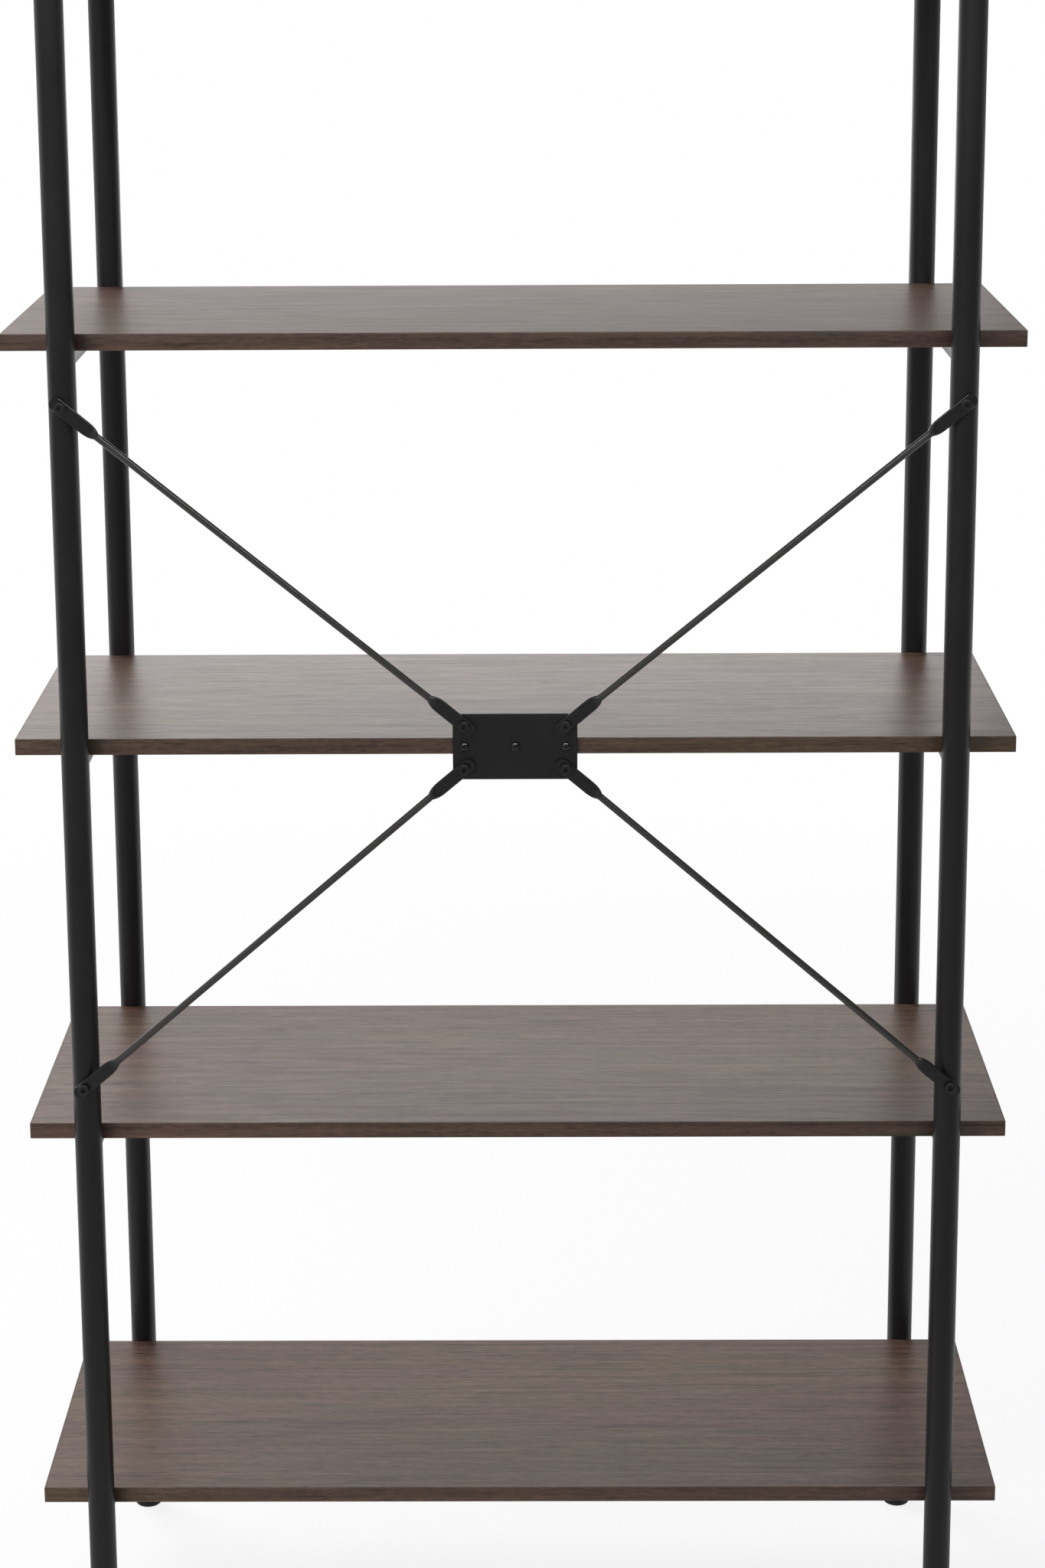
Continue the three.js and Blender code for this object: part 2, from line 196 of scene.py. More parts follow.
# Fine surface of a coated or moulded skin: an even pimple or ripple, and wide faint patches with more sheen
# or less
skin, given, wanted = new_group(
    "skin",
    {"Position": "Vector", "Pimples per metre": "Float"},
    {"Height": "Float", "Patches": "Float"},
)
pimples = put(skin, "TexNoise", {"Vector": given[0], "Scale": given[1], "Detail": 2.0})
patches = put(skin, "TexNoise", {"Vector": given[0], "Scale": patches_per_metre, "Detail": 4.0})
skin.links.new(pimples.outputs[0], wanted["Height"])
skin.links.new(remapped(skin, patches.outputs[0], *patch_edges, 0, 1), wanted["Patches"])


def black_finish(name, colour, metallic, specular, sheen_range, pimples_per_metre, pimple_depth):
    """A black material over the skin group, its roughness drifting between the two ends of a range"""
    material = bpy.data.materials.new(name)
    material.use_nodes = True
    tree = material.node_tree
    surface = tree.nodes["Principled BSDF"]
    position = put(tree, "TexCoord").outputs["Object"]
    texture = tree.nodes.new("ShaderNodeGroup")
    texture.node_tree = skin
    tree.links.new(position, texture.inputs["Position"])
    texture.inputs["Pimples per metre"].default_value = pimples_per_metre
    shade = put(
        tree,
        "Mix",
        {0: texture.outputs["Patches"], 6: colour, 7: [patch_lift * part for part in colour[:3]] + [1]},
        data_type="RGBA",
    )
    bump = put(tree, "Bump", {"Height": texture.outputs["Height"], "Distance": pimple_depth})
    roughness = remapped(tree, texture.outputs["Patches"], 0, 1, *sheen_range)
    tree.links.new(shade.outputs[2], surface.inputs["Base Color"])
    tree.links.new(roughness, surface.inputs["Roughness"])
    tree.links.new(bump.outputs["Normal"], surface.inputs["Normal"])
    surface.inputs["Metallic"].default_value = metallic
    surface.inputs["Specular IOR Level"].default_value = specular
    return material


powder_coat = black_finish(
    "powder_coat",
    coat_black,
    metallic=0,
    specular=0.40,
    sheen_range=(0.37, 0.45),
    pimples_per_metre=1300,
    pimple_depth=0.00002,
)

for face in ("front", "rear"):
    for side in ("left", "right"):
        node = f"{face}_{side}_post"
        low, high = corners_of(node)
        radius = (high.x - low.x) / 2
        bore = radius - post_wall
        tube = turned(
            [
                (bore, low.z),
                (radius - post_end_ease, low.z),
                (radius, low.z + post_end_ease),
                (radius, high.z - post_end_ease),
                (radius - post_end_ease, high.z),
                (bore, high.z),
            ],
            post_facets,
            closed=True,
        )
        centre = middle(node)
        tube = moved(tube, Matrix.Translation((centre.x, centre.y, 0)))
        if face == "front":
            nuts = [middle(f"rivet_nut_{level}_{side}") for level in ("lower", "upper")]
            holes = [Vector((nut.x, low.y, nut.z)) for nut in nuts]
            tube = drilled(tube, rivet_hole, radius, holes)
        post = set_down(tube, f"{node}_tube", powder_coat)
        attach(post, "root")
        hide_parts(node)

# Rails: ten lengths of square steel tube, coped round at both ends, welded between a front and a rear post
# and coated with them. Each bead runs down one side, under the rail and up the other, so the top stays flat.
rail_wall = 0.0015
rail_corner = 0.002
rail_corner_steps = 4
rail_bore_corner = 0.0005
rail_bore_steps = 2
rail_cope_gap = 0.0001
rail_screw_hole = 0.0046
rail_screw_inset = 0.05
bead_radius = 0.0016
bead_pitch = 0.0019
bead_step = 0.0004
bead_ripple = 0.16
bead_tip = 0.45
bead_swell = 0.08


def rounded_sheet(length, width, corner, segments):
    """A flat rectangle in X and Y with its four corners rounded"""
    shape = bmesh.new()
    scale = Matrix.Diagonal((length, width, 1, 1))
    bmesh.ops.create_grid(shape, x_segments=1, y_segments=1, size=0.5, matrix=scale)
    bmesh.ops.bevel(
        shape,
        geom=shape.verts[:],
        offset=corner,
        segments=segments,
        profile=0.5,
        affect="VERTICES",
        material=-1,
    )
    return shape


def drawn_out(shape, depth):
    """A flat shape drawn out along Z to a solid that is centred on Z = 0"""
    drawn = bmesh.ops.extrude_face_region(shape, geom=shape.faces[:], use_keep_orig=True)
    ends = [part for part in drawn["geom"] if isinstance(part, bmesh.types.BMVert)]
    bmesh.ops.translate(shape, verts=ends, vec=(0, 0, depth))
    bmesh.ops.translate(shape, verts=shape.verts, vec=(0, 0, -depth / 2))
    bmesh.ops.recalc_face_normals(shape, faces=shape.faces)
    return shape


def eased(shape, offset, segments=2, sharper_than=50):
    """A solid with its sharp edges rounded over"""
    sharp = [edge for edge in shape.edges if edge.calc_face_angle(0) > math.radians(sharper_than)]
    bmesh.ops.bevel(
        shape,
        geom=sharp,
        offset=offset,
        segments=segments,
        profile=0.5,
        affect="EDGES",
        material=-1,
    )
    return shape


def bead_path(half_width, corner, post_centre_y, post_radius):
    """Points of a weld down one side of a rail, under it and up the other, on the round face of its post"""
    inner = half_width - corner
    side_steps = int((half_width + inner) / bead_step)
    side = [(-half_width, half_width - step * bead_step) for step in range(side_steps)]
    turns = int(math.pi / 2 * corner / bead_step) + 1
    bend = [
        (-inner - corner * math.cos(turn), -inner - corner * math.sin(turn))
        for turn in (math.pi / 2 * step / turns for step in range(turns))
    ]
    floor = [(-inner + step * bead_step, -half_width) for step in range(int(inner / bead_step))]
    half = side + bend + floor
    around = half + [(-x, z) for x, z in reversed(half)]
    return [(x, post_centre_y - math.sqrt(post_radius**2 - x**2), z) for x, z in around]


def weld_bead(path):
    """A rippled bead of weld metal along a path, thinning out at both ends"""
    curve = bpy.data.curves.new("bead", "CURVE")
    curve.dimensions = "3D"
    curve.bevel_depth = bead_radius
    curve.bevel_resolution = 2
    curve.use_fill_caps = True
    spline = curve.splines.new("POLY")
    spline.points.add(len(path) - 1)
    for index, (point, place) in enumerate(zip(spline.points, path)):
        point.co = (*place, 1)
        from_end = min(index, len(path) - 1 - index)
        ripple = 1 - bead_ripple + bead_ripple * abs(math.sin(math.pi * index * bead_step / bead_pitch))
        point.radius = ripple * min(1, bead_tip + bead_swell * from_end)
    bead = bpy.data.objects.new("bead", curve)
    bpy.context.scene.collection.objects.link(bead)
    graph = bpy.context.evaluated_depsgraph_get()
    mesh = bpy.data.meshes.new_from_object(bead.evaluated_get(graph))
    shape = bmesh.new()
    shape.from_mesh(mesh)
    bpy.data.objects.remove(bead)
    bpy.data.curves.remove(curve)
    bpy.data.meshes.remove(mesh)
    bmesh.ops.remove_doubles(shape, verts=shape.verts, dist=same_point)
    bmesh.ops.recalc_face_normals(shape, faces=shape.faces)
    return shape


def joined(shapes):
    """Several shapes as one"""
    whole = bmesh.new()
    for shape in shapes:
        mesh = bpy.data.meshes.new("part")
        shape.to_mesh(mesh)
        shape.free()
        whole.from_mesh(mesh)
        bpy.data.meshes.remove(mesh)
    return whole


post_low, post_high = corners_of("front_left_post")
post_radius = (post_high.x - post_low.x) / 2
post_y = -middle("front_left_post").y
screw_y = middle("shelf_1").y - corners_of("shelf_1")[0].y - rail_screw_inset
low, high = corners_of("left_rail_1")
rail_width = high.x - low.x
bore_width = rail_width - 2 * rail_wall

rail_blank = drawn_out(rounded_sheet(rail_width, rail_width, rail_corner, rail_corner_steps), 2 * post_y)
rail_bore = drawn_out(rounded_sheet(bore_width, bore_width, rail_bore_corner, rail_bore_steps), 3 * post_y)
rail_blank = moved(cut_with(rail_blank, rail_bore), facing_front)
cope_radius = post_radius + rail_cope_gap
for end in (1, -1):
    place = Matrix.Translation((0, end * post_y, 0))
    rail_blank = cut_with(rail_blank, cone(post_facets, cope_radius, cope_radius, 2 * rail_width, place))
screw_places = [Vector((0, end * screw_y, 0)) for end in (-1, 1)]
rail_blank = drilled(rail_blank, rail_screw_hole, 2 * rail_width, screw_places, "z")
path = bead_path(rail_width / 2, rail_corner, post_y, post_radius)
welds = joined([weld_bead(path), moved(weld_bead(path), Matrix.Rotation(math.pi, 4, "Z"))])

for tier in range(1, 6):
    for side in ("left", "right"):
        node = f"{side}_rail_{tier}"
        place = Matrix.Translation(middle(node))
        rail = set_down(moved(rail_blank.copy(), place), f"{node}_tube", powder_coat)
        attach(rail, "root")
        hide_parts(node)
        beads = set_down(moved(welds.copy(), place), f"{node}_welds", powder_coat, crease=80)
        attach(beads, "root")
rail_blank.free()
welds.free()

# Boards: chipboard faced above and below with a printed walnut film under satin melamine. The grain runs
# along the board, and fine dark pores are pressed into the film. Pilot holes for screws are bored from below
# and, in the middle board, into its front edge.
edging_thickness = 0.001
board_ease = 0.0001
pilot_hole = 0.0046
pilot_depth = 0.0103
edge_pilot_depth = 0.0253
walnut_olive = (0.0905, 0.0562, 0.0338, 1)
walnut_plum = (0.0870, 0.0470, 0.0388, 1)
walnut_green = (0.050, 0.046, 0.034, 1)
noise_mean = 0.5
wander_reach = 0.012
tone_edges = (0.36, 0.57)
mark_edges = (0.70, 0.80)
mark_strength = 0.9
band_weight = 1.2
streak_weight = 1.5
hair_weight = 1.6
pore_edges = (0.62, 0.72)
pore_weight = 0.35
pore_depth = 0.00006
sheen_edges = (0.3, 0.7)

# Printed walnut: wide drifting tones, long bands, straight streaks and hairs, all drawn out along the grain,
# with thin dark pores and, here and there, a greenish mark. Each surface has its own fineness, contrast and
# tint; the edging's darker tint is a painted shade.
walnut, given, wanted = new_group(
    "walnut",
    {"Position": "Vector", "Fineness": "Float", "Contrast": "Float", "Tint": "Vector"},
    {"Color": "Color", "Pores": "Float", "Streaks": "Float"},
)


def stretched_noise(tree, position, stretch, detail, roughness=0.55):
    """Noise drawn out along the grain: stretch is its fineness along X, Y and Z, per metre"""
    vector = put(tree, "VectorMath", {0: position, 1: stretch}, operation="MULTIPLY").outputs[0]
    inputs = {"Vector": vector, "Scale": 1.0, "Detail": detail, "Roughness": roughness}
    return put(tree, "TexNoise", inputs).outputs[0]


def weighted(tree, layer, weight):
    """How far a layer of noise is from its mean, times a weight"""
    return math_node(tree, math_node(tree, layer, noise_mean, "SUBTRACT"), weight, "MULTIPLY")


wander = stretched_noise(walnut, given["Position"], (1.6, 5, 5), 1.0)
sideways = weighted(walnut, wander, wander_reach)
shift = put(walnut, "CombineXYZ", {1: sideways, 2: sideways}).outputs[0]
bent = put(walnut, "VectorMath", {0: given["Position"], 1: shift}, operation="ADD").outputs[0]
fine = put(walnut, "VectorMath", {0: bent, 3: given["Fineness"]}, operation="SCALE").outputs[0]
tones = remapped(walnut, stretched_noise(walnut, bent, (1.8, 13, 13), 2.0), *tone_edges, 0, 1)
marks = remapped(walnut, stretched_noise(walnut, bent, (6, 60, 60), 1.0), *mark_edges, 0, mark_strength)
bands = stretched_noise(walnut, fine, (1.2, 120, 120), 2.0)
streaks = stretched_noise(walnut, fine, (12, 260, 260), 3.0, 0.6)
hairs = stretched_noise(walnut, fine, (80, 640, 640), 1.0)
pores = remapped(walnut, stretched_noise(walnut, fine, (16, 430, 430), 1.0), *pore_edges, 0, 1)
film = put(walnut, "Mix", {0: tones, 6: walnut_olive, 7: walnut_plum}, data_type="RGBA")
marked = put(walnut, "Mix", {0: marks, 6: film.outputs[2], 7: walnut_green}, data_type="RGBA")
figure = weighted(walnut, bands, band_weight)
for layer, weight in ((streaks, streak_weight), (hairs, hair_weight)):
    figure = math_node(walnut, figure, weighted(walnut, layer, weight))
figure = math_node(walnut, figure, math_node(walnut, pores, pore_weight, "MULTIPLY"), "SUBTRACT")
shade = math_node(walnut, math_node(walnut, figure, given["Contrast"], "MULTIPLY"), 1.0)
shaded = put(walnut, "VectorMath", {0: marked.outputs[2], 3: shade}, operation="SCALE").outputs[0]
tinted = put(walnut, "VectorMath", {0: shaded, 1: given["Tint"]}, operation="MULTIPLY").outputs[0]
walnut.links.new(tinted, wanted["Color"])
walnut.links.new(pores, wanted["Pores"])
walnut.links.new(streaks, wanted["Streaks"])


def walnut_finish(name, fineness, contrast, tint, sheen_range, run_map=None):
    """The printed film on one kind of surface, its pores pressed in, along X or along a UV map"""
    material = bpy.data.materials.new(name)
    material.use_nodes = True
    tree = material.node_tree
    surface = tree.nodes["Principled BSDF"]
    grain = tree.nodes.new("ShaderNodeGroup")
    grain.node_tree = walnut
    if run_map:
        position = put(tree, "UVMap", uv_map=run_map).outputs[0]
    else:
        position = put(tree, "TexCoord").outputs["Object"]
    tree.links.new(position, grain.inputs["Position"])
    grain.inputs["Fineness"].default_value = fineness
    grain.inputs["Contrast"].default_value = contrast
    grain.inputs["Tint"].default_value = tint
    roughness = remapped(tree, grain.outputs["Streaks"], *sheen_edges, *sheen_range)
    pressed = math_node(tree, 1.0, grain.outputs["Pores"], "SUBTRACT")
    bump = put(tree, "Bump", {"Height": pressed, "Distance": pore_depth})
    tree.links.new(grain.outputs["Color"], surface.inputs["Base Color"])
    tree.links.new(roughness, surface.inputs["Roughness"])
    tree.links.new(bump.outputs["Normal"], surface.inputs["Normal"])
    return material


walnut_face = walnut_finish(
    "walnut_face",
    fineness=1.0,
    contrast=1.0,
    tint=(1, 1, 1),
    sheen_range=(0.43, 0.37),
)


def block(size, centre):
    """A plain rectangular blank"""
    shape = bmesh.new()
    matrix = Matrix.Translation(centre) @ Matrix.Diagonal((*size, 1))
    bmesh.ops.create_cube(shape, size=1, matrix=matrix)
    return shape


for tier in range(1, 6):
    node = f"shelf_{tier}"
    low, high = corners_of(node)
    size = high - low
    inner = size - Vector((2 * edging_thickness, 2 * edging_thickness, 0))
    core = eased(block(inner, middle(node)), board_ease, 1)
    rails = [middle(f"{side}_rail_{tier}") for side in ("left", "right")]
    pilots = [Vector((rail.x, end * screw_y, low.z)) for rail in rails for end in (-1, 1)]
    core = drilled(core, pilot_hole, 2 * pilot_depth, pilots, "z")
    if tier == 3:
        screws = [middle(f"plate_screw_{place}") for place in ("left", "middle", "right")]
        edge_pilots = [Vector((screw.x, low.y, screw.z)) for screw in screws]
        core = drilled(core, pilot_hole, 2 * edge_pilot_depth, edge_pilots)
    board = set_down(core, f"{node}_board", walnut_face)
    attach(board, "root")
    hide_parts(node)

# Edging: a thin strip of the same walnut print, glued round all four edges of each board and trimmed with a
# small round at both arrises. Its colour is tinted darker and warmer than the faces as a painted shade, for
# the less light that falls on upright edges, and its slightly finer grain follows the strip round the board.
edging_round = 0.0008
edging_round_steps = 3
edging_joint = 0.00004
strip_offset = 3.0
# The edging's tint is a painted shade, darker and warmer than the faces for the less light on upright edges
strip_painted_shade = (0.70, 0.68, 0.60)

walnut_strip = walnut_finish(
    "walnut_strip",
    fineness=1.3,
    contrast=0.9,
    tint=strip_painted_shade,
    sheen_range=(0.44, 0.36),
    run_map="run",
)

for tier in range(1, 6):
    node = f"shelf_{tier}"
    low, high = corners_of(node)
    size = high - low
    strip = eased(block(size, middle(node)), edging_round, edging_round_steps)
    narrower = edging_joint - 2 * edging_thickness
    strip = cut_with(strip, block(size + Vector((narrower, narrower, size.z)), middle(node)))
    if tier == 3:
        strip = drilled(strip, pilot_hole, 4 * edging_thickness, edge_pilots)
    run = strip.loops.layers.uv.new("run")
    for face in strip.faces:
        centre = face.calc_center_median()
        at_end = high.x - abs(centre.x) < high.y - abs(centre.y)
        for loop in face.loops:
            place = loop.vert.co
            distance = place.y + math.copysign(1, centre.x) if at_end else place.x + centre.y
            loop[run].uv = (distance + strip_offset * tier, place.z)
    edging = set_down(strip, f"{node}_edging", walnut_strip)
    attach(edging, "root")
    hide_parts(node)

# Board screws: twenty pan-head screws with a cross recess, driven up through both walls of a rail into its
# board. They are hardened steel with a black zinc finish, and only the heads show, under the rails.
fastener_facets = 40
board_screw = {
    "across": 0.004,
    "head": 0.008,
    "height": 0.0024,
    "rim": 0.3,
    "length": 0.0253,
    "point": 0.004,
}
dome_steps = 8
recess_span = 0.0042
recess_width = 0.0011
recess_depth = 0.0016
recess_taper = (0.45, 0.7, 1)
screw_pitch = 0.0014
screw_neck = 0.0008
thread_depth = 0.0004
ridge_corners = ((0.1, 1), (0.5, 0), (0.62, 0), (0.98, 1))
zinc_black = (0.020, 0.020, 0.022, 1)

black_zinc = black_finish(
    "black_zinc",
    zinc_black,
    metallic=0.55,
    specular=0.4,
    sheen_range=(0.30, 0.38),
    pimples_per_metre=2400,
    pimple_depth=0.00001,
)


def threaded(radius, start, end, pitch):
    """(radius, height) points of a thread's ridges from one height up to another"""
    turns = max(1, round((end - start) / pitch))
    step = (end - start) / turns
    points = []
    for turn in range(turns):
        base = start + turn * step
        points += [(radius - sunk * thread_depth, base + along * step) for along, sunk in ridge_corners]
    return points


def domed(radius, rim, height):
    """(radius, height) points of a head: an upright rim with a dome over it"""
    turns = [math.pi / 2 * step / dome_steps for step in range(dome_steps)]
    dome = [(radius * math.cos(turn), rim + (height - rim) * math.sin(turn)) for turn in turns]
    return [(radius, 0), *dome, (0, height)]


def pan_screw(sizes):
    """A screw with its head up from Z = 0, a cross recess, and a thread down to a point"""
    radius = sizes["across"] / 2
    shank = threaded(radius, sizes["point"] - sizes["length"], -screw_neck, screw_pitch)
    head = domed(sizes["head"] / 2, sizes["rim"] * sizes["height"], sizes["height"])
    screw = turned([(0, -sizes["length"]), *shank, (radius - thread_depth, 0), *head], fastener_facets)
    for turn in (0, math.pi / 2):
        blade = block((recess_span, recess_width, 2 * recess_depth), (0, 0, sizes["height"]))
        tip = [vert for vert in blade.verts if vert.co.z < sizes["height"]]
        bmesh.ops.scale(blade, vec=recess_taper, verts=tip)
        screw = cut_with(screw, moved(blade, Matrix.Rotation(turn, 4, "Z")))
    return screw


screw_shape = pan_screw(board_screw)
for tier in range(1, 6):
    for side in ("left", "right"):
        rail = middle(f"{side}_rail_{tier}")
        for face, end in (("front", -1), ("rear", 1)):
            place = Matrix.Translation((rail.x, end * screw_y, rail.z - rail_width / 2))
            under = moved(screw_shape.copy(), place @ Matrix.Rotation(math.pi, 4, "X"))
            screw = set_down(under, f"board_screw_{side}_{tier}_{face}", black_zinc)
            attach(screw, "root")
screw_shape.free()

# Brace rods: four pieces of drawn round bar. Both ends are pressed flat between dies, cropped round and
# punched, and the bar is coated black. Its round part is painted dark grey, a painted sheen for the lights
# that its curve catches.
bar_radius = 0.0032
bar_segments = 28
tab_width = 0.0125
tab_thickness = 0.0027
tab_length = 0.024
tab_shoulder = 0.016
tab_shoulder_power = 3.2
tab_ramp = 0.008
tab_end_past_hole = 0.0043
tab_end_steps = 14
tab_hole = 0.0066
tab_fit = 0.0003
shoulder_stations = 16
neck = tab_length + tab_shoulder
bar_lead = 0.005
bar_lead_start = 0.0015
die_depth = 0.2
brace_drill = 0.08
# Painted sheen: the lighter grey painted on the round part of each bar, for the lights its curve catches
painted_sheen_grey = (0.032, 0.030, 0.029, 1)

black_enamel = black_finish(
    "black_enamel",
    coat_black,
    metallic=0,
    specular=0.5,
    sheen_range=(0.22, 0.30),
    pimples_per_metre=900,
    pimple_depth=0.000004,
)
# The drawn attribute mixes the painted sheen grey into the coat colour along each bar's round part
tree = black_enamel.node_tree
base_colour = tree.nodes["Principled BSDF"].inputs["Base Color"]
coated = base_colour.links[0].from_socket
drawn = put(tree, "Attribute", attribute_name="drawn").outputs["Fac"]
painted_sheen = put(tree, "Mix", {0: drawn, 6: coated, 7: painted_sheen_grey}, data_type="RGBA")
tree.links.new(painted_sheen.outputs[2], base_colour)


def smooth_share(value, low, high):
    """0 below the range and 1 above it, with a soft start and stop between"""
    share = min(1, max(0, (value - low) / (high - low)))
    return share * share * (3 - 2 * share)


def pressed_bar(span, step):
    """A bar along X with flat tabs at 0 and span, its second tab moved along Y by the step"""
    reach = tab_end_past_hole + tab_width
    steps = range(shoulder_stations + 1)
    shoulder = [tab_length + tab_shoulder * count / shoulder_stations for count in steps]
    shoulder += [neck + bar_lead_start, neck + bar_lead]
    stations = [-reach, *shoulder, *(span - station for station in reversed(shoulder)), span + reach]
    bar = bmesh.new()
    half_turn = Matrix.Rotation(math.pi / bar_segments, 4, "Z")
    start = Matrix.Translation((0, 0, stations[0]))
    bmesh.ops.create_circle(bar, segments=bar_segments, radius=1, matrix=start @ half_turn)
    ring = bar.edges[:]
    for here, there in zip(stations, stations[1:]):
        drawn = bmesh.ops.extrude_edge_only(bar, edges=ring)["geom"]
        ring = [part for part in drawn if isinstance(part, bmesh.types.BMEdge)]
        verts = [part for part in drawn if isinstance(part, bmesh.types.BMVert)]
        bmesh.ops.translate(bar, verts=verts, vec=(0, 0, there - here))
    bmesh.ops.holes_fill(bar, edges=[edge for edge in bar.edges if edge.is_boundary])
    for vert in bar.verts:
        across, through, station = vert.co
        from_hole = min(station, span - station)
        narrow = min(1, max(0, (from_hole - tab_length) / tab_shoulder)) ** tab_shoulder_power
        thick = smooth_share(from_hole, neck - tab_ramp, neck)
        half_width = tab_width / 2 + narrow * (bar_radius - tab_width / 2)
        half_thickness = tab_thickness / 2 + thick * (bar_radius - tab_thickness / 2)
        flat = math.copysign(half_width - half_thickness, across)
        stepped = step * min(1, max(0, (station - tab_length) / (span - 2 * tab_length)))
        vert.co = (station, half_thickness * through + stepped, flat + half_thickness * across)
    bmesh.ops.recalc_face_normals(bar, faces=bar.faces)
    return bar


for level in ("lower", "upper"):
    for side in ("left", "right"):
        node = f"brace_rod_{level}_{side}"
        inner_bolt = middle(f"plate_bolt_{level}_{side}")
        outer_bolt = middle(f"post_bolt_{level}_{side}")
        rise = outer_bolt.z - inner_bolt.z
        run = outer_bolt.x - inner_bolt.x
        span = math.hypot(run, rise)
        plate_tab_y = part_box("brace_plate")[0][1] - tab_fit - tab_thickness / 2
        post_tab_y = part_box(f"rivet_nut_{level}_{side}")[0][1] - tab_fit - tab_thickness / 2
        bar = pressed_bar(span, post_tab_y - plate_tab_y)
        length = span + 2 * tab_end_past_hole + tab_width
        outline = rounded_sheet(length, tab_width, tab_width / 2 - same_point, tab_end_steps)
        die = moved(drawn_out(outline, die_depth), Matrix.Translation((span / 2, 0, 0)) @ facing_front)
        bar = cut_with(bar, die, "INTERSECT")
        bar = drilled(bar, tab_hole, brace_drill, [Vector((0, 0, 0)), Vector((span, 0, 0))])
        # drawn is 0 on the flat tabs and 1 on the round bar, where the colour carries the painted sheen
        drawn = bar.verts.layers.float.new("drawn")
        for vert in bar.verts:
            from_hole = min(vert.co.x, span - vert.co.x)
            vert[drawn] = smooth_share(from_hole, neck - tab_ramp, neck + bar_lead)
        lean = Matrix.Rotation(-math.atan2(rise, run), 4, "Y")
        bar = moved(bar, Matrix.Translation((inner_bolt.x, plate_tab_y, inner_bolt.z)) @ lean)
        rod = set_down(bar, f"{node}_bar", black_enamel)
        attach(rod, "root")
        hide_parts(node)

# Brace plate: blanked from steel sheet with rounded corners, punched with four bolt holes and three screw
# holes, and coated black. It hangs on the middle board's front edge.
plate_corner = 0.0034
plate_corner_steps = 6
plate_ease = 0.0004
plate_screw_hole = 0.0046

low, high = corners_of("brace_plate")
plate_size = high - low
outline = rounded_sheet(plate_size.x, plate_size.z, plate_corner, plate_corner_steps)
sheet = eased(drawn_out(outline, plate_size.y), plate_ease)
sheet = moved(sheet, Matrix.Translation(middle("brace_plate")) @ facing_front)
corners = [f"{level}_{side}" for level in ("lower", "upper") for side in ("left", "right")]
bolt_holes = [middle(f"plate_bolt_{corner}") for corner in corners]
screw_holes = [middle(f"plate_screw_{place}") for place in ("left", "middle", "right")]
sheet = drilled(sheet, tab_hole, brace_drill, bolt_holes)
sheet = drilled(sheet, plate_screw_hole, brace_drill, screw_holes)
plate = set_down(sheet, "brace_plate_sheet", powder_coat)
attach(plate, "root")
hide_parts("brace_plate")

# Brace bolts: eight machine bolts with a flat-faced round head and a hexagon socket, black zinc on steel.
# Four go through the outer tabs into the posts and four through the inner tabs and the plate.
bolt_radius = 0.003
bolt_head_radius = 0.00525
bolt_head_height = 0.004
bolt_head_round = 0.0011
bolt_head_steps = 5
bolt_head_ease = 0.0002
bolt_chamfer = 0.0006
bolt_pitch = 0.001
socket_across_flats = 0.004
socket_depth = 0.0022
socket_point = 0.0009
socket_point_radii = (0.0001, 0.00196)
socket_point_facets = 24
socket_lap = 0.00001


def hexagon_corner(across_flats):
    """The radius to the corners of a hexagon"""
    return across_flats / 2 / math.cos(math.pi / 6)


def socket_bolt(length):
    """A bolt with its head up from Z = 0 and its threaded shank down to the given length"""
    shank = threaded(bolt_radius, bolt_chamfer - length, 0, bolt_pitch)
    flat_radius = bolt_head_radius - bolt_head_round
    rim = bolt_head_height - bolt_head_round
    turns = [math.pi / 2 * step / bolt_head_steps for step in range(bolt_head_steps + 1)]
    bend = [(bolt_head_round * math.cos(turn), bolt_head_round * math.sin(turn)) for turn in turns]
    shoulder = [(flat_radius + out, rim + up) for out, up in bend]
    seat = [(bolt_head_radius - bolt_head_ease, 0), (bolt_head_radius, bolt_head_ease)]
    tip = [(0, -length), (bolt_radius - bolt_chamfer, -length)]
    outline = [*tip, *shank, (bolt_radius, 0), *seat, *shoulder, (0, bolt_head_height)]
    key_radius = hexagon_corner(socket_across_flats)
    key = cone(6, key_radius, key_radius, 2 * socket_depth, Matrix.Translation((0, 0, bolt_head_height)))
    # The point's cone starts a hair up inside the hexagon, so no skin is left between the two cuts.
    tip_radius, rim_radius = socket_point_radii
    lap_radius = rim_radius + (rim_radius - tip_radius) * socket_lap / socket_point
    point_depth = socket_point + socket_lap
    point_middle = bolt_head_height - socket_depth + socket_lap - point_depth / 2
    point_place = Matrix.Translation((0, 0, point_middle))
    point = cone(socket_point_facets, tip_radius, lap_radius, point_depth, point_place)
    return cut_with(cut_with(turned(outline, fastener_facets), key), point)


for kind in ("post", "plate"):
    low, high = corners_of(f"{kind}_bolt_lower_left")
    bolt_shape = socket_bolt(high.y - low.y - bolt_head_height)
    seat = low.y + bolt_head_height
    for corner in corners:
        node = f"{kind}_bolt_{corner}"
        centre = middle(node)
        place = Matrix.Translation((centre.x, seat, centre.z)) @ facing_front
        bolt = set_down(moved(bolt_shape.copy(), place), f"{node}_m6", black_zinc)
        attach(bolt, "root")
        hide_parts(node)
    bolt_shape.free()

# Nuts: four rivet nuts pulled up inside the front posts for the outer bolts, and four plain hexagon nuts
# behind the plate for the inner ones. All are steel with the same black zinc finish as the bolts.
nut_across_flats = 0.010
nut_chamfer = 0.0007
nut_face_share = 0.97
nut_corner_room = 1.01
nut_facets = 48
nut_thread_radius = 0.0031
rivet_body_radius = 0.0045
rivet_flange_thickness = 0.0008
rivet_flange_ease = 0.0002


